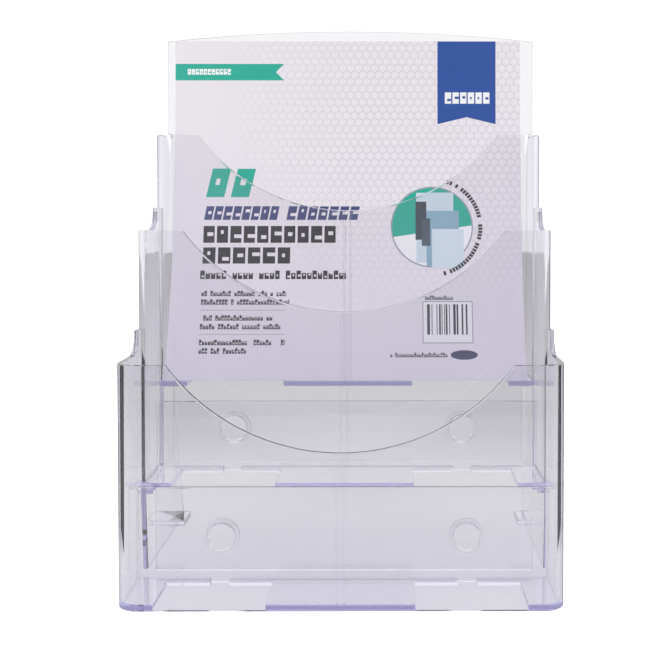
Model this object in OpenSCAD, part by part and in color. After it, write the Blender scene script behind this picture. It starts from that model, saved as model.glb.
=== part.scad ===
// Three-tier leaflet rack in clear moulded plastic.
// Three trays step up and back, joined through their back walls by round push-in plugs.
// Two legs stand under the upper trays and slide out backwards.
// Origin: centre of the footprint, at table height. +X right, +Y back, +Z up.

/* [Trays] */
// Outer width of the front tray
front_w = 240; // [230:1:270]
// How much narrower each tray is than the one in front of it
step_in = 0.6; // [0:0.2:3]
// Distance from one front wall to the next, square to the walls
pitch = 44; // [42:1:52]
// Backward lean of every upright wall, in degrees
lean = 5.5; // [3:0.5:9]
// Thickness of the walls and floors
wall = 3; // [2.4:0.1:3.6]
// Outer radius of the two front corners of a tray
corner_r = 12; // [8:0.5:15]

/* [Heights] */
// Top edge of the front tray above the table
front_top = 129.5; // [120:0.5:150]
// Underside of the middle tray's floor
middle_floor = 52; // [48:0.5:62]
// Top edge of the middle tray
middle_top = 199; // [185:1:215]
// Underside of the rear tray's floor
rear_floor = 102.5; // [98:0.5:115]
// Top edge of the rear tray's front wall
rear_top = 256.5; // [240:0.5:275]
// Top of the back panel at its two sides
panel_side = 320; // [305:1:350]
// Extra height of the back panel at its middle
panel_arch = 6.5; // [3:0.5:12]

/* [Openings] */
// Radius of the hand scoop in each front wall
scoop_r = 115; // [100:1:130]
// Depth of the hand scoop below the top edge
scoop_d = 46; // [30:1:55]
// Width of the floor left standing between the two floor cut-outs
tab_w = 79.5; // [60:0.5:100]
// Width of the floor left standing at each corner
corner_tab = 20; // [14:1:24]
// Front-to-back length of the floor cut-outs
notch_l = 33; // [15:1:34]

/* [Plugs] */
// Diameter of a joining plug and of its hole
plug_d = 16; // [12:0.5:18]
// Distance between the two plugs of a joint
plug_span = 140; // [120:1:160]
// Height of the plugs above the underside of the floor
plug_z = 25.5; // [20:0.5:30]

/* [Legs] */
// Width of a leg's foot
foot_w = 28; // [20:1:34]
// Front-to-back length of a foot
foot_l = 22; // [16:1:30]
// Distance that a leg slides back to come free
leg_travel = 60; // [50:1:80]

/* [Card] */
// Width of the display card
card_w = 224; // [180:1:226]
// Height of the display card
card_h = 220; // [150:1:225]

/* [Hidden] */
$fn = 96;
plane_gap = 0.1;      // between flat faces of one joint
hug_gap = 0.3;        // between a side wall and the next tray's rounded corner
plug_gap = 0.05;      // radial gap of a plug in its hole
slide_gap = 0.4;      // between a leg and the trays
plug_cap = 2;         // thickness of a plug's rear flange
flange_gap = 0.1;     // between a plug's flange and the wall it holds
plug_flange_d = plug_d + 4;
fillet_r = 13;        // where a side wall's top edge rises into the next front wall
gap_w = 11;           // slot through the rear floor strip, below each hole
rib_w = 1;            // divider ribs inside each front wall
rib_d = 1.4;
rib_span = 3.8;
skirt_h = 46;         // a tray's front wall below its floor, behind the tray in front
front_seat = 2;       // from the middle floor up to the front tray's back edge
middle_seat = 8.5;    // from the middle tray's back edge up to the rear floor
rail_t = 1.6;         // rail under the middle floor that guides a leg
rail_h = 4;
rail_l = 24;
finger_t = 2;         // wall of the leg's channel
foot_in = 5;          // part of a foot that lies inside the leg's web
leg_t = 3;
foot_t = 3.5;
card_t = 0.8;
card_gap = 0.6;       // under the card's foot
card_foot = 6;        // from the front wall to the card's foot
card_rest = 1;        // from the card's top to the panel
high = 420;           // taller than the whole rack
deep = 600;           // deeper than the whole rack
under = 60;           // how far a leaning cut starts below the table
reach_out = 10;       // how far a cut runs past the face it opens
lap = 0.02;           // overlap that makes two touching solids one
middle_w = front_w - step_in;
rear_w = front_w - 2 * step_in;
leg_x = middle_w / 2 - leg_t;
far = (3 * pitch) / cos(lean) + (panel_side + panel_arch) * tan(lean);
y_mid = far / 2;
leg_front = pitch / cos(lean) + corner_r + 6;
leg_back = far - 2;

// Sideways view of a wall plane: its y at height z
function plane_y(p, z) = p / cos(lean) + z * tan(lean);

module leaned() { rotate([-lean, 0, 0]) children(); }

// Box spanning the rack between two heights
module slab(z0, z1) { translate([-front_w, -deep / 2, z0]) cube([2 * front_w, deep, z1 - z0]); }

// Plan of a tray: square at the back, rounded at the front
module plan(w, r, y0, y1) {
  translate([-w / 2 + r, y0]) square([w - 2 * r, y1 - y0]);
  translate([-w / 2, y0 + r]) square([w, y1 - y0 - r]);
  for (s = [-1, 1]) translate([s * (w / 2 - r), y0 + r]) circle(r);
}

module column(w, r, y0, y1) {
  leaned() translate([0, 0, -under]) linear_extrude(high + under) plan(w, r, y0, y1);
}

// Side outline of a tray, with the rising curve at the next wall plane p
module side_outline(p, z0, z1) {
  y_p = plane_y(p, z1 + fillet_r);
  rotate([90, 0, 90]) translate([0, 0, -front_w]) linear_extrude(2 * front_w) {
    translate([-under, z0]) square([deep, z1 - z0]);
    difference() {
      translate([y_p - fillet_r, z1 - 1]) square([fillet_r + under, fillet_r + 1]);
      translate([y_p - fillet_r, z1 + fillet_r]) circle(fillet_r);
    }
  }
}

// Front wall, rounded corners and side walls of the tray that starts at plane p
module tray_walls(w, p, z0, z1, reach) {
  intersection() {
    difference() {
      column(w, corner_r, p, p + pitch + reach);
      column(w - 2 * wall, corner_r - wall, p + wall, p + pitch + reach + reach_out);
      translate([0, plane_y(p, z1) - reach_out, z1 + scoop_r - scoop_d]) rotate([-90, 0, 0])
        cylinder(r = scoop_r, h = reach_out + corner_r);
    }
    side_outline(p + pitch, z0, z1);
  }
}

module tray_floor(w, p, z0) {
  notch_out = w / 2 - corner_tab;
  difference() {
    intersection() {
      column(w - 2 * wall + lap, corner_r - wall, p + wall - lap / 2, p + pitch - wall);
      slab(z0, z0 + wall);
    }
    for (s = [-1, 1]) {
      translate([s * (tab_w / 2 + notch_out) / 2, plane_y(p + wall, z0) + notch_l / 2 - 2, z0])
        cube([notch_out - tab_w / 2, notch_l + 4, 3 * wall], center = true);
      translate([s * plug_span / 2, plane_y(p + wall, z0) + pitch / 2, z0])
        cube([gap_w, pitch - 2 * wall - 0.6, 3 * wall], center = true);
    }
  }
}

// Flat wall lying on plane p, between two heights
module flat_wall(w, p, z0, z1) {
  intersection() {
    leaned() translate([-w / 2, p, -under]) cube([w, wall, high + under]);
    slab(z0, z1);
  }
}

// The pair of plug holes in the walls at plane p
module plug_bores(p, z0, d, y0, y1) {
  for (s = [-1, 1]) plug_at(s, p, z0) translate([0, 0, y0]) cylinder(d = d, h = y1 - y0);
}

module plug_at(s, p, z0) {
  leaned() translate([s * plug_span / 2, p, (z0 + plug_z) / cos(lean) + p * tan(lean)])
    rotate([-90, 0, 0]) children();
}

module divider_ribs(p, z0, z1) {
  intersection() {
    leaned() for (s = [-1, 1])
      translate([s * rib_span / 2 - rib_w / 2, p + wall - lap, -under]) cube([rib_w, rib_d + lap, high]);
    slab(z0 + wall - lap, z1 - scoop_d - 1);
  }
}

module back_wall(w, p, z0, z1) {
  difference() {
    flat_wall(w, p - wall - plane_gap, z0, z1);
    plug_bores(p, z0, plug_d + 2 * plug_gap, -wall - 2, 1);
  }
}

// Part of a tray's front wall that hangs behind the tray in front, whose floor is at z_ahead
module skirt(w, p, z0, z_ahead) {
  difference() {
    flat_wall(w - 2 * corner_r, p, z0 - skirt_h, z0 + 1);
    plug_bores(p, z_ahead, plug_d + 2 * plug_gap, -1, wall + 2);
  }
}

module front_tray() {
  color("lavender") translate([0, -y_mid, 0]) {
    difference() {
      tray_walls(front_w, 0, 0, front_top, corner_r);
      column(middle_w + 2 * hug_gap, corner_r + hug_gap, pitch - plane_gap, 4 * pitch);
    }
    tray_floor(front_w, 0, 0);
    back_wall(front_w - 2 * wall + lap, pitch, 0, middle_floor + front_seat);
    divider_ribs(0, 0, front_top);
  }
}

module middle_tray() {
  color("lavender") translate([0, -y_mid, 0]) {
    difference() {
      tray_walls(middle_w, pitch, middle_floor, middle_top, corner_r);
      column(rear_w + 2 * hug_gap, corner_r + hug_gap, 2 * pitch - plane_gap, 4 * pitch);
    }
    tray_floor(middle_w, pitch, middle_floor);
    back_wall(middle_w - 2 * wall + lap, 2 * pitch, middle_floor, rear_floor - middle_seat);
    divider_ribs(pitch, middle_floor, middle_top);
    skirt(middle_w, pitch, middle_floor, 0);
    leg_rails();
  }
}

module rear_tray() {
  color("lavender") translate([0, -y_mid, 0]) {
    tray_walls(rear_w, 2 * pitch, rear_floor, rear_top, -wall / 2);
    tray_floor(rear_w, 2 * pitch, rear_floor);
    divider_ribs(2 * pitch, rear_floor, rear_top);
    skirt(rear_w, 2 * pitch, rear_floor, middle_floor);
    back_panel();
  }
}

// Tall panel behind the rear tray, with an arched top and the pair of wall-fixing holes
module back_panel() {
  arch_r = (pow(rear_w / 2, 2) + pow(panel_arch, 2)) / (2 * panel_arch);
  difference() {
    intersection() {
      flat_wall(rear_w, 3 * pitch - wall, rear_floor, panel_side + panel_arch);
      translate([0, 0, panel_side + panel_arch - arch_r]) rotate([-90, 0, 0])
        cylinder(r = arch_r, h = deep, $fn = 360);
    }
    plug_bores(3 * pitch, rear_floor, plug_d, -wall - 2, 2);
  }
}

// Rail under the middle floor that each leg's channel slides along
module leg_rails() {
  for (s = [0, 1]) mirror([s, 0, 0])
    translate([leg_x - slide_gap - rail_t, leg_front, middle_floor - rail_h])
      cube([rail_t, rail_l, rail_h + lap]);
}

// One joining plug: a round shank through two walls with a flange behind
module plug(s, p, z0) {
  color("white") translate([0, -y_mid, 0]) plug_at(s, p, z0) {
    translate([0, 0, -wall - plane_gap]) cylinder(d = plug_d, h = 2 * (wall + flange_gap) + plane_gap);
    translate([0, 0, wall + flange_gap]) cylinder(d = plug_flange_d, h = plug_cap);
  }
}

// One leg: an upright web under the two upper floors, standing on a flat foot
module leg(s) {
  color("lavender") translate([0, -y_mid, 0]) mirror([s < 0 ? 1 : 0, 0, 0]) {
    translate([leg_x, 0, 0]) rotate([90, 0, 90]) linear_extrude(leg_t) leg_outline();
    translate([leg_x - foot_in, leg_back - foot_l, 0]) linear_extrude(foot_t) foot_plan();
    leg_channel();
  }
}

// The web's outline: it clears the middle tray's side wall before it rises to the rear floor
module leg_outline() {
  mid = middle_floor - slide_gap;
  top = rear_floor - slide_gap;
  clear_p = 2 * pitch + corner_r + 3;
  polygon([[leg_front, 0], [leg_back, 0], [plane_y(3 * pitch, top), top],
           [plane_y(clear_p, top), top], [plane_y(clear_p, mid), mid], [leg_front, mid]]);
}

// Channel on the inside of the web that wraps round the middle tray's rail
module leg_channel() {
  in_x = leg_x - 2 * slide_gap - rail_t - finger_t;
  base_z = middle_floor - rail_h - slide_gap - finger_t;
  translate([in_x, leg_front, base_z]) cube([leg_x - in_x + lap, rail_l, finger_t]);
  translate([in_x, leg_front, base_z])
    cube([finger_t, rail_l, middle_floor - slide_gap - base_z]);
}

module foot_plan() {
  r = 4;
  square([foot_w - r, foot_l]);
  translate([0, r]) square([foot_w, foot_l - 2 * r]);
  for (y = [r, foot_l - r]) translate([foot_w - r, y]) circle(r);
}

// Card in the rear tray: its foot near the front wall, its top against the back panel
module display_card() {
  foot_y = plane_y(2 * pitch + wall, rear_floor + wall) + card_foot;
  top_y = plane_y(3 * pitch - wall, rear_floor + wall + card_h) - card_t - card_rest;
  tilt = asin((top_y - foot_y) / card_h);
  color("white") translate([0, foot_y - y_mid, rear_floor + wall + card_gap]) rotate([-tilt, 0, 0])
    translate([-card_w / 2, 0, 0]) cube([card_w, card_t, card_h]);
}

front_tray();
middle_tray();
rear_tray();
plug(-1, pitch, 0);  // front_plug_left
plug(1, pitch, 0);  // front_plug_right
plug(-1, 2 * pitch, middle_floor);  // rear_plug_left
plug(1, 2 * pitch, middle_floor);  // rear_plug_right
leg(-1);  // left_leg
leg(1);  // right_leg
display_card();
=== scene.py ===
# %% [markdown]
# # A clear three-tier leaflet rack
# The rack is moulded in crystal-clear plastic, so nearly all of its looks come from how light bends,
# bounces and travels inside it. This lesson loads the exact model, gives the plastic real thickness
# effects, dresses the joining plugs and the display card, and sets up a white studio around it.

# %% Load the model
import bpy
import math
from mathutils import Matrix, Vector


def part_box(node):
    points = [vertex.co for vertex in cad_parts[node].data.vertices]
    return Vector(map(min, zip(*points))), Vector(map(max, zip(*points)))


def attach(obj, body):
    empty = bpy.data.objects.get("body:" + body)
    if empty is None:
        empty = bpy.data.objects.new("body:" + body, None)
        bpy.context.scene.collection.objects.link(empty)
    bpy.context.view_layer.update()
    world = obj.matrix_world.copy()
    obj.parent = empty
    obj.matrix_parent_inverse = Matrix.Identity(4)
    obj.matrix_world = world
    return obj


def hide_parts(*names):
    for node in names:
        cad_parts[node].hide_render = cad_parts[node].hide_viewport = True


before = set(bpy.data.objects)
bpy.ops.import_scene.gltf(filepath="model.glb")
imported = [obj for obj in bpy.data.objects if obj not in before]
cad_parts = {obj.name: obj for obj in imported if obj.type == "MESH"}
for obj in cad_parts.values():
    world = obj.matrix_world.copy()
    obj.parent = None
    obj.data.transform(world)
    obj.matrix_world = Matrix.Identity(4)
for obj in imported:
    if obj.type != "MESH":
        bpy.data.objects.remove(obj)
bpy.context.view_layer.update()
scene = bpy.context.scene

# %% [markdown]
# ## Small helpers
# Operators act on whatever is selected, so each step starts by selecting exactly one object. Colours are
# written as screen values from 0 to 255 and turned into the linear values that shaders want.


# %% Selecting, placing and colours
def deselect():
    if bpy.context.object and bpy.context.object.mode != "OBJECT":
        bpy.ops.object.mode_set(mode="OBJECT")
    bpy.ops.object.select_all(action="DESELECT")


def only(obj):
    deselect()
    obj.select_set(True)
    bpy.context.view_layer.objects.active = obj
    return obj


def settle(obj):
    """Moves the object's place into its mesh, so that the object itself sits at the origin."""
    only(obj)
    bpy.ops.object.transform_apply(location=True, rotation=True, scale=True)
    return obj


def apply_modifier(obj, kind, **values):
    only(obj)
    m = obj.modifiers.new(kind.title(), kind)
    for key, value in values.items():
        setattr(m, key, value)
    bpy.ops.object.modifier_apply(modifier=m.name)


def screen(r, g, b):
    def one(c):
        c /= 255
        return c / 12.92 if c <= 0.04045 else ((c + 0.055) / 1.055) ** 2.4
    return (one(r), one(g), one(b), 1.0)


def pick(obj, vertices=None, faces=None):
    """Selects the vertices or faces that pass a test, and opens the object for editing."""
    only(obj)
    mesh = obj.data
    mesh.vertices.foreach_set("select", [False] * len(mesh.vertices))
    mesh.edges.foreach_set("select", [False] * len(mesh.edges))
    mesh.polygons.foreach_set("select", [False] * len(mesh.polygons))
    if vertices:
        mesh.vertices.foreach_set("select", [vertices(v.co) for v in mesh.vertices])
    if faces:
        mesh.polygons.foreach_set("select", [faces(f.center, f.normal) for f in mesh.polygons])
    bpy.ops.object.mode_set(mode="EDIT")
    bpy.ops.mesh.select_mode(type="VERT" if vertices else "FACE")


MM = 0.001

# %% [markdown]
# ## Node shorthand
# Materials are built in code. A tiny class keeps the node tree and adds nodes, links and arithmetic, so
# that each material below reads like a recipe. Effects that several materials share become node groups
# that put out only masks, values, colours and normals.


# %% A small builder for node trees
class Tree:
    def __init__(self, tree):
        self.tree, self.n = tree, tree.nodes

    def add(self, kind, **props):
        node = self.n.new(kind)
        for key, value in props.items():
            setattr(node, key, value)
        return node

    def put(self, socket, value):
        if isinstance(value, bpy.types.NodeSocket):
            self.tree.links.new(value, socket)
        elif value is not None:
            socket.default_value = value

    def math(self, op, a, b=None, c=None):
        node = self.add("ShaderNodeMath", operation=op)
        for i, value in enumerate((a, b, c)):
            self.put(node.inputs[i], value)
        return node.outputs[0]

    def vmath(self, op, a, b=None):
        node = self.add("ShaderNodeVectorMath", operation=op)
        self.put(node.inputs[0], a)
        self.put(node.inputs[1], b)
        return node.outputs["Value"] if op in ("DOT_PRODUCT", "LENGTH") else node.outputs[0]

    def all_of(self, *values):
        out = values[0]
        for v in values[1:]:
            out = self.math("MULTIPLY", out, v)
        return out

    def above(self, a, b):
        return self.math("GREATER_THAN", a, b)

    def below(self, a, b):
        return self.math("LESS_THAN", a, b)

    def between(self, a, lo, hi):
        return self.all_of(self.above(a, lo), self.below(a, hi))

    def ramp(self, value, a, b, lo=0.0, hi=1.0):
        node = self.add("ShaderNodeMapRange")
        for name, v in (("Value", value), ("From Min", a), ("From Max", b), ("To Min", lo), ("To Max", hi)):
            self.put(node.inputs[name], v)
        return node.outputs[0]

    def mix(self, mask, a, b):
        node = self.add("ShaderNodeMix", data_type="RGBA")
        self.put(node.inputs[0], mask)
        self.put(node.inputs[6], a)
        self.put(node.inputs[7], b)
        return node.outputs[2]

    def noise(self, where, scale, detail):
        node = self.add("ShaderNodeTexNoise")
        self.put(node.inputs["Vector"], where)
        self.put(node.inputs["Scale"], scale)
        self.put(node.inputs["Detail"], detail)
        self.put(node.inputs["Roughness"], 0.5)
        return node.outputs[0]

    def random(self, w):
        node = self.add("ShaderNodeTexWhiteNoise", noise_dimensions="1D")
        self.put(node.inputs["W"], w)
        return node.outputs["Value"]

    def group(self, tree, **values):
        node = self.add("ShaderNodeGroup")
        node.node_tree = tree
        for name, v in values.items():
            self.put(node.inputs[name], v)
        return node.outputs


def new_group(name, inputs, outputs):
    tree = bpy.data.node_groups.new(name, "ShaderNodeTree")
    kinds = {"v": "NodeSocketVector", "f": "NodeSocketFloat"}
    for label, kind, start in inputs:
        s = tree.interface.new_socket(name=label, in_out="INPUT", socket_type=kinds[kind])
        if start is not None:
            s.default_value = start
    for label, kind in outputs:
        tree.interface.new_socket(name=label, in_out="OUTPUT", socket_type=kinds[kind])
    t = Tree(tree)
    return t, t.add("NodeGroupInput").outputs, t.add("NodeGroupOutput").inputs


def new_material(name):
    m = bpy.data.materials.new(name)
    m.use_nodes = True
    t = Tree(m.node_tree)
    shader = next(n for n in t.n if n.type == "BSDF_PRINCIPLED")
    return m, t, shader


def object_place(t):
    return t.add("ShaderNodeTexCoord").outputs["Object"]


# %% [markdown]
# ## Handling marks
# A rack that stands on a counter is wiped with a cloth, so it carries very fine hairline scratches and a
# few soft smudges. Both are far smaller than the walls, so they only stir the roughness and the normal a
# little. The same group serves the trays, the plugs and the legs, each with its own amounts.

# %% Handling marks as a node group
t, gi, go = new_group(
    "handling marks",
    [("Place", "v", None), ("Smudge", "f", 0.03), ("Ripple", "f", 0.05)],
    [("Roughness", "f"), ("Height", "f")],
)
stretched = t.vmath("MULTIPLY", gi["Place"], (30.0, 30.0, 4.0))
hair = t.noise(stretched, 90.0, 1.0)
hairline = t.ramp(hair, 0.66, 0.72)
patch = t.ramp(t.noise(gi["Place"], 14.0, 3.0), 0.52, 0.72)
rough = t.math("MULTIPLY_ADD", patch, gi["Smudge"], 0.008)
t.put(go["Roughness"], t.math("MULTIPLY_ADD", hairline, 0.015, rough))
sink = t.noise(t.vmath("MULTIPLY", gi["Place"], (1.0, 1.0, 0.35)), 26.0, 1.0)
t.put(go["Height"], t.math("MULTIPLY", sink, gi["Ripple"]))
MARKS = t.tree
print("group", MARKS.name, len(MARKS.nodes), "nodes")

# %% [markdown]
# ## Clear plastic
# Clear moulding plastic bends light more than acrylic does and has a faint violet cast that shows only
# where light travels a long way inside it, along the floors and at the edges. A volume that soaks up a
# little green and red gives exactly that: walls stay clear face-on, and edges turn violet. Light that
# shines through the rack onto the card is let straight through, which keeps the card clean and bright.


# %% The clear plastic material
PLASTIC_IOR = 1.59
NEARLY_WHITE = (0.995, 0.995, 0.985, 1)
VIOLET = (0.26, 0.21, 0.68, 1)
MARK_DEPTH, MARK_STRENGTH = 0.4 * MM, 0.25


def clear_plastic(name, density, smudge, ripple):
    m, t, shader = new_material(name)
    marks = t.group(MARKS, Place=object_place(t), Smudge=smudge, Ripple=ripple)
    shader.inputs["Base Color"].default_value = NEARLY_WHITE
    shader.inputs["Transmission Weight"].default_value = 1.0
    shader.inputs["IOR"].default_value = PLASTIC_IOR
    t.put(shader.inputs["Roughness"], marks["Roughness"])
    bump = t.add("ShaderNodeBump")
    bump.inputs["Distance"].default_value = MARK_DEPTH
    bump.inputs["Strength"].default_value = MARK_STRENGTH
    t.put(bump.inputs["Height"], marks["Height"])
    t.put(shader.inputs["Normal"], bump.outputs[0])
    out = next(n for n in t.n if n.type == "OUTPUT_MATERIAL")
    path = t.add("ShaderNodeLightPath").outputs
    through = t.add("ShaderNodeBsdfTransparent")
    through.inputs[0].default_value = (1, 1, 1, 1)
    mixed = t.add("ShaderNodeMixShader")
    t.put(mixed.inputs[0], t.math("MAXIMUM", path["Is Shadow Ray"], path["Is Diffuse Ray"]))
    t.put(mixed.inputs[1], shader.outputs[0])
    t.put(mixed.inputs[2], through.outputs[0])
    t.put(out.inputs["Surface"], mixed.outputs[0])
    soak = t.add("ShaderNodeVolumeAbsorption")
    soak.inputs["Color"].default_value = VIOLET
    soak.inputs["Density"].default_value = density
    t.put(out.inputs["Volume"], soak.outputs[0])
    return m


tray_plastic = clear_plastic("tray plastic", density=23.0, smudge=0.03, ripple=0.06)
plug_plastic = clear_plastic("plug plastic", density=12.0, smudge=0.02, ripple=0.02)
leg_plastic = clear_plastic("leg plastic", density=12.0, smudge=0.04, ripple=0.06)
print("plastics", tray_plastic.name, plug_plastic.name, leg_plastic.name)

# %% [markdown]
# ## Trays and legs
# The exact meshes already hold every wall, scoop, notch and rib. A real moulding has no razor edges,
# though: its edges are polished round by a fraction of a millimetre, and those thin rounds catch the
# bright lines that make clear plastic readable. So each mesh is copied, merged, and given a fine bevel.

# %% Round a few rims, then polish every edge
RIM = 0.9 * MM
EDGE = 0.35 * MM
MERGE = 0.004 * MM
FLAT = math.radians(0.6)
SHARP, SMOOTH = math.radians(40), math.radians(20)


def round_rims(obj, rims):
    """Rounds the edges that pass a test on their middle and direction, as a polished rim is."""
    pick(obj)
    bpy.ops.object.mode_set(mode="OBJECT")
    mesh = obj.data
    for e in mesh.edges:
        a, b = (mesh.vertices[i].co for i in e.vertices)
        e.select = rims((a + b) / 2, b - a)
    bpy.ops.object.mode_set(mode="EDIT")
    bpy.ops.mesh.select_mode(type="EDGE")
    bpy.ops.mesh.bevel(offset=RIM, segments=2, affect="EDGES", clamp_overlap=True)
    bpy.ops.object.mode_set(mode="OBJECT")


def polished_copy(node, body, material, rims):
    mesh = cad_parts[node].data.copy()
    mesh.materials.clear()
    mesh.materials.append(material)
    obj = bpy.data.objects.new(node + "_polished", mesh)
    scene.collection.objects.link(obj)
    only(obj)
    bpy.ops.object.mode_set(mode="EDIT")
    bpy.ops.mesh.select_all(action="SELECT")
    bpy.ops.mesh.remove_doubles(threshold=MERGE)
    bpy.ops.mesh.dissolve_limited(angle_limit=FLAT)
    bpy.ops.object.mode_set(mode="OBJECT")
    round_rims(obj, rims)
    apply_modifier(obj, "BEVEL", width=EDGE, segments=2, limit_method="ANGLE", angle_limit=SHARP,
                   use_clamp_overlap=True, harden_normals=False)
    only(obj)
    bpy.ops.object.shade_smooth_by_angle(angle=SMOOTH)
    apply_modifier(obj, "WEIGHTED_NORMAL", mode="FACE_AREA", weight=100, keep_sharp=True)
    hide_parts(node)
    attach(obj, body)
    print(node, len(obj.data.polygons), "faces")


# %% Copy and polish them
LEGS = {"left_leg": "leg_left", "right_leg": "leg_right"}
SCOOPS = {"front_tray": 198.5, "middle_tray": 268.0, "rear_tray": 325.5}  # height of each scoop's centre, mm
BACKS = {"front_tray": 54.0, "middle_tray": 94.0}  # height of each low back wall, mm
SCOOP_R = 115.0


def tray_rims(name):
    """The scoop's two edges and the two long edges on top of the back wall."""
    def test(mid, way):
        x, z = mid.x * 1000, mid.z * 1000
        on_scoop = abs(math.hypot(x, z - SCOOPS[name]) - SCOOP_R) < 0.12 and z < SCOOPS[name] - 20
        level = abs(way.z) < 1e-6 and abs(way.x) > 20 * MM
        return (on_scoop and abs(way.y) < 0.6 * MM) or (level and abs(z - BACKS.get(name, -9)) < 0.1)
    return test


def web_front(mid, way):
    """The two upright edges at the front of a leg."""
    return abs(way.z) > 30 * MM and mid.y < -15 * MM


for name in SCOOPS:
    polished_copy(name, "trays", tray_plastic, tray_rims(name))
for name, body in LEGS.items():
    polished_copy(name, body, leg_plastic, web_front)

# %% [markdown]
# ## Joining plugs
# Each plug is a round push-in button: a shank that fills the hole, a face in front with a shallow round
# recess, and a flange behind. The recess makes each one read as a ring from the front, because its rim
# bends the view behind it. One is modelled upright, then each copy is turned and set into its own hole.

# %% The plug's sizes, taken from the CAD
PLUGS = ["front_plug_left", "front_plug_right", "rear_plug_left", "rear_plug_right"]
LEAN = math.radians(5.5)
PLUG_R, FLANGE_R, CAP_T = 8.0 * MM, 10.0 * MM, 2.0 * MM
SHANK = 6.3 * MM
FACE_RIM, RECESS, RECESS_SIDE, PLUG_EDGE = 0.9 * MM, 0.3 * MM, 0.5 * MM, 0.3 * MM
STEP_OUT = 0.0002 * MM  # a hair's depth, so that the flange grows out of the shank's own end face


# %% Model one plug along its own axis
deselect()
bpy.ops.mesh.primitive_cylinder_add(vertices=64, radius=PLUG_R, depth=SHANK, end_fill_type="NGON",
                                    location=(0, 0, 0))
plug = only(bpy.context.object)
plug.name = "plug_pattern"
pick(plug, faces=lambda c, n: n.z > 0.9)
bpy.ops.mesh.inset(thickness=FACE_RIM)
bpy.ops.mesh.extrude_region_move(TRANSFORM_OT_translate={"value": (0, 0, -RECESS)})
bpy.ops.mesh.inset(thickness=RECESS_SIDE)
pick(plug, faces=lambda c, n: n.z < -0.9)
bpy.ops.mesh.extrude_region_move(TRANSFORM_OT_translate={"value": (0, 0, -STEP_OUT)})
bpy.ops.transform.resize(value=(FLANGE_R / PLUG_R, FLANGE_R / PLUG_R, 1))
bpy.ops.mesh.extrude_region_move(TRANSFORM_OT_translate={"value": (0, 0, -CAP_T)})
bpy.ops.object.mode_set(mode="OBJECT")
apply_modifier(plug, "BEVEL", width=PLUG_EDGE, segments=2, limit_method="ANGLE",
               angle_limit=math.radians(50))
bpy.ops.object.shade_smooth_by_angle(angle=math.radians(35))
plug.data.materials.append(plug_plastic)
print("plug", len(plug.data.polygons), "faces")

# %% Set a copy into each hole
along = Vector((0, math.cos(LEAN), -math.sin(LEAN)))
for name in PLUGS:
    lo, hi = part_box(name)
    mid = (lo + hi) / 2
    copy = bpy.data.objects.new(name + "_button", plug.data.copy())
    scene.collection.objects.link(copy)
    copy.rotation_euler = (math.radians(90) - LEAN, 0, 0)
    copy.location = mid - along * (CAP_T / 2)
    settle(copy)
    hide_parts(name)
    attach(copy, "trays")
bpy.data.objects.remove(plug)
print("plugs", len(PLUGS))

# %% [markdown]
# ## Display card
# The card stands in the rear tray to show off the rack. It is thin board, so it doesn't stay flat: its
# top leans on the back panel and its foot slides forward, which bows it gently. A grid is stood up, its
# rows are moved forward one by one in edit mode, and a solidify modifier gives it the board's thickness.

# %% The card's shape
card_lo, card_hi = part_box("display_card")
CARD_W, CARD_H = 225.0, 220.0
CARD_T = 0.8 * MM
CARD_SHIFT = -1.5 * MM
FOOT_OUT, TOP_GAP = 4.6 * MM, 0.3 * MM
BOW = 2.2
ROWS = 44
STAND_H = card_hi.z - card_lo.z
print("card from", [round(1000 * c, 1) for c in card_lo], "to", [round(1000 * c, 1) for c in card_hi])

deselect()
bpy.ops.mesh.primitive_grid_add(x_subdivisions=16, y_subdivisions=ROWS, size=1.0, location=(0, 0, 0))
card = only(bpy.context.object)
card.name = "display_card_bowed"
card.scale = (CARD_W * MM, STAND_H, 1)
card.rotation_euler = (math.radians(90), 0, 0)
card.location = (CARD_SHIFT, card_hi.y - CARD_T, card_lo.z + STAND_H / 2)
settle(card)


# %% Bow it forward, row by row
def card_y(s):
    """The card's Y at s, where s = 0 is the foot and 1 is the top."""
    top_y, foot_y = card_hi.y - CARD_T - TOP_GAP, card_lo.y - FOOT_OUT
    slope = math.tan(LEAN) * STAND_H
    flat = top_y - (1 - s) * slope
    bend = (top_y - slope) - foot_y
    return flat - bend * (1 - s) ** BOW


for row in range(ROWS + 1):
    z = card_lo.z + STAND_H * row / ROWS
    pick(card, vertices=lambda co: abs(co.z - z) < 0.3 * STAND_H / ROWS)
    bpy.ops.transform.translate(value=(0, card_y(row / ROWS) - (card_hi.y - CARD_T), 0))
bpy.ops.object.mode_set(mode="OBJECT")
print("card rows", ROWS + 1, "vertices", len(card.data.vertices))

# %% [markdown]
# ## Print groups
# The print is drawn by nodes from the card's own UV map, measured in millimetres from its top left
# corner. A line of print is a row of small upright blocks of uneven height with gaps between words, so it
# reads as print from a distance and says nothing up close. The honeycomb is two offset grids of cells.

# %% A box mask and a line of print
t, gi, go = new_group(
    "box mask",
    [("Place", "v", None), ("Left", "f", 0.0), ("Right", "f", 1.0), ("Top", "f", 0.0), ("Bottom", "f", 1.0)],
    [("Mask", "f")],
)
sep = t.add("ShaderNodeSeparateXYZ")
t.put(sep.inputs[0], gi["Place"])
t.put(go["Mask"], t.all_of(t.between(sep.outputs[0], gi["Left"], gi["Right"]),
                           t.between(sep.outputs[1], gi["Top"], gi["Bottom"])))
BOX_MASK = t.tree

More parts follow.
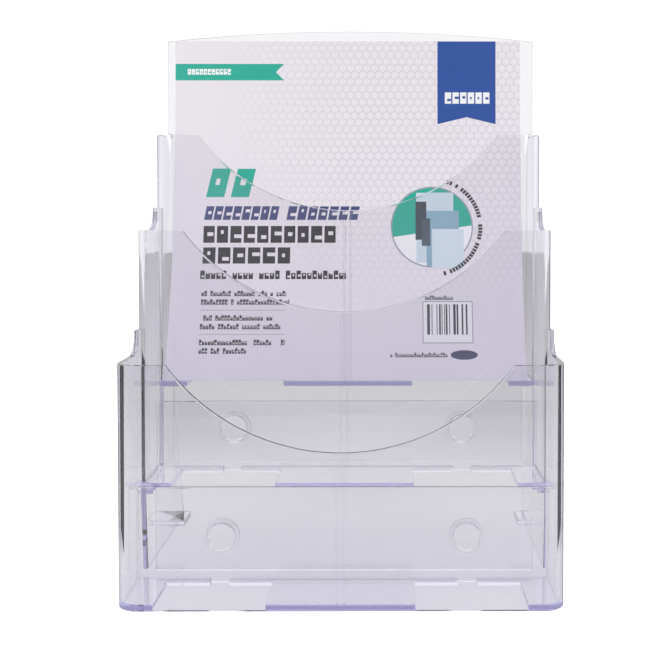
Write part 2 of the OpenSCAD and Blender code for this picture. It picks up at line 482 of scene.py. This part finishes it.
t, gi, go = new_group(
    "line of print",
    [("Place", "v", None), ("Left", "f", 0.0), ("Right", "f", 1.0), ("Top", "f", 0.0), ("Bottom", "f", 1.0),
     ("Letter", "f", 2.0), ("Seed", "f", 1.0), ("Slant", "f", 0.0), ("Small", "f", 1.0)],
    [("Mask", "f")],
)
sep = t.add("ShaderNodeSeparateXYZ")
t.put(sep.inputs[0], gi["Place"])
v = sep.outputs[1]
u = t.math("ADD", sep.outputs[0], t.math("MULTIPLY", gi["Slant"], t.math("SUBTRACT", v, gi["Bottom"])))
cells = t.math("DIVIDE", t.math("SUBTRACT", u, gi["Left"]), gi["Letter"])
index, part = t.math("FLOOR", cells), t.math("FRACT", cells)
seeded = t.math("MULTIPLY_ADD", gi["Seed"], 31.7, index)
dice, dice_b = t.random(seeded), t.random(t.math("ADD", seeded, 900.5))
tall = t.math("DIVIDE", t.math("SUBTRACT", v, gi["Top"]), t.math("SUBTRACT", gi["Bottom"], gi["Top"]))
inside = t.all_of(t.between(u, gi["Left"], gi["Right"]), t.between(tall, 0.0, 1.0))
word = t.above(dice, t.math("MULTIPLY", gi["Small"], 0.13))
stroke = t.above(part, 0.17)
short = t.all_of(gi["Small"], t.below(dice_b, 0.6), t.below(tall, 0.28))
hollow_at = t.ramp(dice_b, 0.0, 1.0, 0.30, 0.72)
hollow = t.all_of(t.between(part, 0.46, t.ramp(dice, 0.0, 1.0, 0.62, 1.1)),
                  t.below(t.math("ABSOLUTE", t.math("SUBTRACT", tall, hollow_at)), 0.11))
t.put(go["Mask"], t.all_of(inside, word, stroke, t.math("SUBTRACT", 1.0, short),
                           t.math("SUBTRACT", 1.0, hollow)))
PRINT_LINE = t.tree

# %% The honeycomb
t, gi, go = new_group(
    "honeycomb", [("Place", "v", None), ("Cell", "f", 5.0), ("Line", "f", 0.05)], [("Mask", "f")])
scaled = t.add("ShaderNodeVectorMath", operation="SCALE")
t.put(scaled.inputs[0], gi["Place"])
t.put(scaled.inputs["Scale"], t.math("DIVIDE", 1.0, gi["Cell"]))
flat = t.vmath("MULTIPLY", scaled.outputs[0], (1, 1, 0))
ROOT3 = 1.7320508
step, half = (1.0, ROOT3, 1.0), (0.5, ROOT3 / 2, 0.0)
one = t.vmath("SUBTRACT", t.vmath("MODULO", t.vmath("ADD", flat, (50, 86.60254, 0)), step), half)
two = t.vmath("SUBTRACT", t.vmath("MODULO", t.vmath("ADD", flat, (50.5, 87.46857, 0)), step), half)


def hex_edge(p):
    """Distance from the middle of a cell, 0.5 at its edge."""
    a = t.vmath("ABSOLUTE", p)
    s = t.add("ShaderNodeSeparateXYZ")
    t.put(s.inputs[0], a)
    return t.math("MAXIMUM", t.vmath("DOT_PRODUCT", a, (0.5, ROOT3 / 2, 0.0)), s.outputs[0])


nearest = t.math("MINIMUM", hex_edge(one), hex_edge(two))
t.put(go["Mask"], t.ramp(nearest, t.math("SUBTRACT", 0.5, gi["Line"]), 0.5))
HONEYCOMB = t.tree
print("groups", BOX_MASK.name, PRINT_LINE.name, HONEYCOMB.name)

# %% [markdown]
# ## The printed face
# The printed side is built up in layers: pale paper, honeycomb, flags and ribbon, then the
# lines of print, the round picture and the box of bars. Everything on it is generic, with no words.

# %% Colours of the print
PAPER = screen(236, 230, 236)
TEAL = screen(0, 172, 150)
BLUE = screen(0, 70, 156)
NAVY = screen(52, 62, 118)
INK = screen(14, 12, 20)
GREY_INK = screen(72, 70, 80)
WHITE = screen(246, 246, 248)

# %% Where each line stands: left, right, top, bottom, letter, slant, small print or not, ink
LINES = [
    (18.5, 33.0, 85.0, 104.0, 14.2, 0.22, 0, TEAL),
    (34.5, 49.0, 85.0, 104.0, 14.2, 0.22, 0, TEAL),
    (19.0, 67.0, 110.0, 119.0, 6.0, 0.18, 0, NAVY),
    (72.0, 119.0, 110.0, 119.0, 6.7, 0.18, 0, NAVY),
    (18.5, 105.0, 123.0, 134.0, 8.65, 0.0, 0, INK),
    (18.5, 76.0, 137.0, 147.5, 9.58, 0.0, 0, INK),
    (18.5, 112.0, 152.0, 157.5, 3.4, 0.0, 1, INK),
    (20.0, 74.0, 165.0, 168.4, 1.9, 0.0, 1, INK),
    (20.0, 76.0, 170.4, 173.8, 1.9, 0.0, 1, INK),
    (20.0, 66.0, 180.4, 183.8, 1.9, 0.0, 1, INK),
    (20.0, 71.0, 185.8, 189.2, 1.9, 0.0, 1, INK),
    (20.0, 74.0, 195.6, 199.0, 1.9, 0.0, 1, INK),
    (20.0, 50.0, 200.8, 204.2, 1.9, 0.0, 1, INK),
    (7.5, 36.5, 18.4, 22.2, 2.6, 0.0, 0, WHITE),
    (175.0, 205.0, 34.0, 41.5, 5.0, 0.0, 0, WHITE),
    (140.0, 176.0, 203.6, 206.4, 1.5, 0.0, 1, GREY_INK),
    (162.0, 180.0, 168.0, 170.8, 1.5, 0.0, 1, GREY_INK),
    (164.0, 189.0, 194.2, 196.8, 1.9, 0.0, 1, INK),
]
RULES = [(20.0, 74.0, 177.0, 177.4), (20.0, 74.0, 192.2, 192.6)]

# %% Build the printed face
card_print, t, shader = new_material("printed card face")
uv = t.add("ShaderNodeUVMap")
uv.uv_map = card.data.uv_layers[0].name
flipped = t.vmath("MULTIPLY", uv.outputs[0], (CARD_W, -CARD_H, 0))
place = t.vmath("ADD", flipped, (0, CARD_H, 0))
sep = t.add("ShaderNodeSeparateXYZ")
t.put(sep.inputs[0], place)
u, v = sep.outputs[0], sep.outputs[1]


def box(left, right, top, bottom):
    return t.group(BOX_MASK, Place=place, Left=left, Right=right, Top=top, Bottom=bottom)["Mask"]


def disc(cu, cv, ru, rv=None):
    shifted = t.vmath("MULTIPLY", t.vmath("SUBTRACT", place, (cu, cv, 0)), (1 / ru, 1 / (rv or ru), 0))
    return t.vmath("LENGTH", shifted)


colour = PAPER
fade = t.all_of(t.ramp(u, 20.0, 120.0), t.ramp(v, 205.0, 90.0))
cells = t.group(HONEYCOMB, Place=place, Cell=5.2, Line=0.07)["Mask"]
colour = t.mix(t.all_of(cells, fade, 0.42), colour, screen(150, 148, 166))
inner = t.group(HONEYCOMB, Place=place, Cell=5.2, Line=0.22)["Mask"]
colour = t.mix(t.all_of(inner, fade, 0.14), colour, screen(196, 194, 210))
tail = t.math("ADD", 65.5, t.math("ABSOLUTE", t.math("SUBTRACT", v, 20.5)))
flag = t.all_of(t.below(u, tail), t.between(v, 15.0, 26.0))
colour = t.mix(flag, colour, TEAL)
peak = t.math("MULTIPLY_ADD", t.math("ABSOLUTE", t.math("SUBTRACT", u, 190.0)), 0.25, 50.5)
ribbon = t.all_of(t.between(u, 171.0, 209.0), t.below(v, peak))
colour = t.mix(ribbon, colour, BLUE)
for k, (left, right, top, bottom, letter, slant, small, ink) in enumerate(LINES):
    line = t.group(PRINT_LINE, Place=place, Left=left, Right=right, Top=top, Bottom=bottom,
                   Letter=letter, Seed=float(k + 3), Slant=slant, Small=float(small))["Mask"]
    colour = t.mix(line, colour, ink)
for rule in RULES:
    colour = t.mix(t.all_of(box(*rule), 0.5), colour, GREY_INK)
print("print layers", len(LINES) + len(RULES))

# %% The round picture, its ring of marks, the box of bars and the small oval
CU, CV, CR = 167.0, 123.5, 26.0
ring = disc(CU, CV, CR)
top_half = t.below(v, t.math("MULTIPLY_ADD", t.math("SUBTRACT", u, CU), -0.15, CV + 3))
colour = t.mix(t.below(ring, 1.0), colour, WHITE)
colour = t.mix(t.all_of(t.below(ring, 1.0), top_half), colour, TEAL)
colour = t.mix(t.between(ring, 0.985, 1.02), colour, screen(150, 160, 168))
STEPS = [(157.0, 181.0, 101.0, 147.0, (206, 222, 232)), (163.5, 184.5, 113.0, 149.0, (140, 176, 196)),
         (167.0, 187.5, 125.0, 150.5, (214, 228, 236)), (156.5, 163.5, 107.0, 132.0, (52, 62, 74)),
         (160.5, 166.0, 118.0, 136.0, (70, 84, 98))]
for left, right, top, bottom, tone in STEPS:
    colour = t.mix(box(left, right, top, bottom), colour, screen(*tone))
angle = t.math("ARCTAN2", t.math("SUBTRACT", v, CV), t.math("SUBTRACT", u, CU))
spot = t.math("MULTIPLY", angle, 15.0)
marks = t.all_of(t.between(ring, 1.15, 1.255), t.between(angle, -1.25, 1.35),
                 t.above(t.math("FRACT", spot), 0.25), t.above(t.random(t.math("FLOOR", spot)), 0.1))
colour = t.mix(marks, colour, INK)
colour = t.mix(box(161.0, 192.0, 172.0, 197.5), colour, WHITE)
bars = t.above(t.random(t.math("FLOOR", t.math("MULTIPLY", u, 1.9))), 0.48)
colour = t.mix(t.all_of(box(163.5, 189.5, 173.5, 192.5), bars), colour, INK)
frame_line = t.math("SUBTRACT", box(160.6, 192.4, 171.6, 197.9), box(161.2, 191.8, 172.2, 197.3))
colour = t.mix(t.all_of(frame_line, 0.6), colour, GREY_INK)
colour = t.mix(t.below(disc(186.5, 205.0, 8.5, 2.9), 1.0), colour, screen(40, 44, 92))

# %% Finish the face: soft print gloss and a faint board texture
grain = t.noise(place, 2.2, 3.0)
colour = t.mix(t.ramp(grain, 0.3, 0.7, 0.0, 0.05), colour, screen(214, 208, 216))
t.put(shader.inputs["Base Color"], colour)
t.put(shader.inputs["Roughness"], t.ramp(grain, 0.3, 0.7, 0.34, 0.44))
shader.inputs["Coat Weight"].default_value = 0.25
shader.inputs["Coat Roughness"].default_value = 0.12
bump = t.add("ShaderNodeBump")
bump.inputs["Strength"].default_value = 0.06
bump.inputs["Distance"].default_value = 0.0001
t.put(bump.inputs["Height"], grain)
t.put(shader.inputs["Normal"], bump.outputs[0])
print("printed face", len(t.n), "nodes")

# %% [markdown]
# ## The card's back and edges
# The back of the board is plain and uncoated, a little warmer, with short paper fibres in it.

# %% Plain board
card_board, t, shader = new_material("plain card board")
place = object_place(t)
fibre = t.noise(t.vmath("MULTIPLY", place, (1.0, 1.0, 3.0)), 900.0, 3.0)
cloud = t.noise(place, 60.0, 3.0)
tone = t.mix(t.ramp(fibre, 0.35, 0.7), screen(238, 235, 230), screen(222, 218, 212))
t.put(shader.inputs["Base Color"], t.mix(t.ramp(cloud, 0.3, 0.7, 0.0, 0.25), tone, screen(228, 226, 226)))
t.put(shader.inputs["Roughness"], t.ramp(fibre, 0.3, 0.7, 0.62, 0.78))
bump = t.add("ShaderNodeBump")
bump.inputs["Strength"].default_value = 0.15
bump.inputs["Distance"].default_value = 0.0001
t.put(bump.inputs["Height"], fibre)
t.put(shader.inputs["Normal"], bump.outputs[0])

# %% Give the card its thickness and both finishes
card.data.materials.append(card_print)
card.data.materials.append(card_board)
apply_modifier(card, "SOLIDIFY", thickness=CARD_T, offset=-1.0, material_offset=1,
               material_offset_rim=1)
only(card)
bpy.ops.object.shade_smooth_by_angle(angle=math.radians(30))
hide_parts("display_card")
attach(card, "card")
print("card", len(card.data.polygons), "faces")

# %% [markdown]
# ## Floor and studio
# Clear plastic is shot against white, because dark shapes are what draw its outline. The room is brightest
# behind the rack and greyer behind the camera, so each wall that faces the camera takes a light grey. Dark
# boards stand beside the rack. Only light that has bounced inside the plastic meets them, so the rounded
# corners pick them up as thin dark lines and nobody sees them straight through a wall.


# %% A plain sheet for the studio
def stage_sheet(name, size, location, rotation, base, glow):
    deselect()
    bpy.ops.mesh.primitive_plane_add(size=1.0, location=location, rotation=rotation)
    sheet = bpy.context.object
    sheet.name = name
    sheet.scale = (size[0], size[1], 1)
    m, t, shader = new_material(name + " finish")
    shader.inputs["Base Color"].default_value = base
    shader.inputs["Roughness"].default_value = 0.9
    shader.inputs["Specular IOR Level"].default_value = 0.0
    shader.inputs["Emission Color"].default_value = (1, 1, 1, 1)
    seen = t.add("ShaderNodeLightPath").outputs["Is Camera Ray"]
    t.put(shader.inputs["Emission Strength"], t.ramp(seen, 0.0, 1.0, glow, glow + 1.0))
    sheet.data.materials.append(m)
    return sheet


# %% The floor and the dark boards
BOARD_SIZE, BOARD_OUT, BOARD_AT_Y, BOARD_UP = (0.09, 0.12), 0.22, -0.01, 0.06
stage_sheet("floor", (8.0, 8.0), (0, 0, -0.0004), (0, 0, 0), (0.64, 0.64, 0.64, 1), 0.12)
for side, name in ((-1, "left"), (1, "right")):
    board = stage_sheet("dark_board_" + name, BOARD_SIZE, (side * BOARD_OUT, BOARD_AT_Y, BOARD_UP),
                        (math.radians(90), 0, math.radians(90)), (0.01, 0.01, 0.01, 1), 0.0)
    board.visible_camera = False
    board.visible_diffuse = False
    t = Tree(board.data.materials[0].node_tree)
    done = next(n for n in t.n if n.type == "OUTPUT_MATERIAL").inputs["Surface"]
    mirrored = t.add("ShaderNodeLightPath").outputs["Glossy Depth"]
    kept = t.add("ShaderNodeMixShader")
    t.put(kept.inputs[0], t.math("GREATER_THAN", mirrored, 0.5))
    t.put(kept.inputs[1], t.add("ShaderNodeBsdfTransparent").outputs[0])
    t.put(kept.inputs[2], done.links[0].from_socket)
    t.put(done, kept.outputs[0])

# %% The room light
world = bpy.data.worlds.new("white room")
scene.world = world
world.use_nodes = True
t = Tree(world.node_tree)
back = next(n for n in t.n if n.type == "BACKGROUND")
way = t.add("ShaderNodeSeparateXYZ")
t.put(way.inputs[0], t.add("ShaderNodeTexCoord").outputs["Generated"])
bright = t.ramp(way.outputs[1], -0.2, 0.35, 0.36, 1.04)
seen = t.add("ShaderNodeLightPath").outputs["Is Camera Ray"]
t.put(back.inputs["Strength"], t.math("MAXIMUM", bright, t.math("MULTIPLY", seen, 1.03)))
back.inputs["Color"].default_value = (1, 1, 1, 1)


# %% Soft boxes
def soft_box(name, location, size, power, aim=(0, 0, 0.16)):
    light = bpy.data.lights.new(name, "AREA")
    light.shape, light.size, light.size_y, light.energy = "RECTANGLE", size[0], size[1], power
    obj = bpy.data.objects.new(name, light)
    scene.collection.objects.link(obj)
    obj.location = location
    obj.rotation_euler = (Vector(aim) - Vector(location)).to_track_quat("-Z", "Y").to_euler()
    return obj


soft_box("front_left_box", (-0.9, -1.0, 1.0), (0.6, 0.9), 7.6)
soft_box("front_right_box", (0.9, -1.0, 1.0), (0.6, 0.9), 7.6)
soft_box("top_box", (0, 0.1, 1.5), (1.2, 1.0), 4.0)

# %% [markdown]
# ## Camera
# The camera looks slightly down from in front of the rack, a little to the right of its middle.

# %% The camera
CAMERA_AT = (0.02776, -0.56701, 0.21178)
PITCH_DOWN, YAW = 0.12012, 0.00256
FOCAL, CENTRE_X, CENTRE_Y, SIDE = 958.58, 395.15, 323.9, 650.0
cam = bpy.data.cameras.new("camera")
cam_obj = bpy.data.objects.new("camera", cam)
scene.collection.objects.link(cam_obj)
cam.sensor_width = 36.0
cam.lens = FOCAL * 36.0 / SIDE
cam.shift_x = (SIDE / 2 - CENTRE_X) / SIDE
cam.shift_y = (CENTRE_Y - SIDE / 2) / SIDE
cam.clip_start, cam.clip_end = 0.01, 30.0
cam_obj.location = CAMERA_AT
cam_obj.rotation_euler = (math.radians(90) - PITCH_DOWN, 0, -YAW)
scene.camera = cam_obj
print("lens", round(cam.lens, 2), "shift", round(cam.shift_x, 4), round(cam.shift_y, 4))

# %% Let light pass through many clear layers
scene.cycles.max_bounces = 32
scene.cycles.transmission_bounces = 32
scene.cycles.glossy_bounces = 12
scene.cycles.transparent_max_bounces = 48
scene.view_settings.view_transform = "Standard"
scene.view_settings.look = "None"
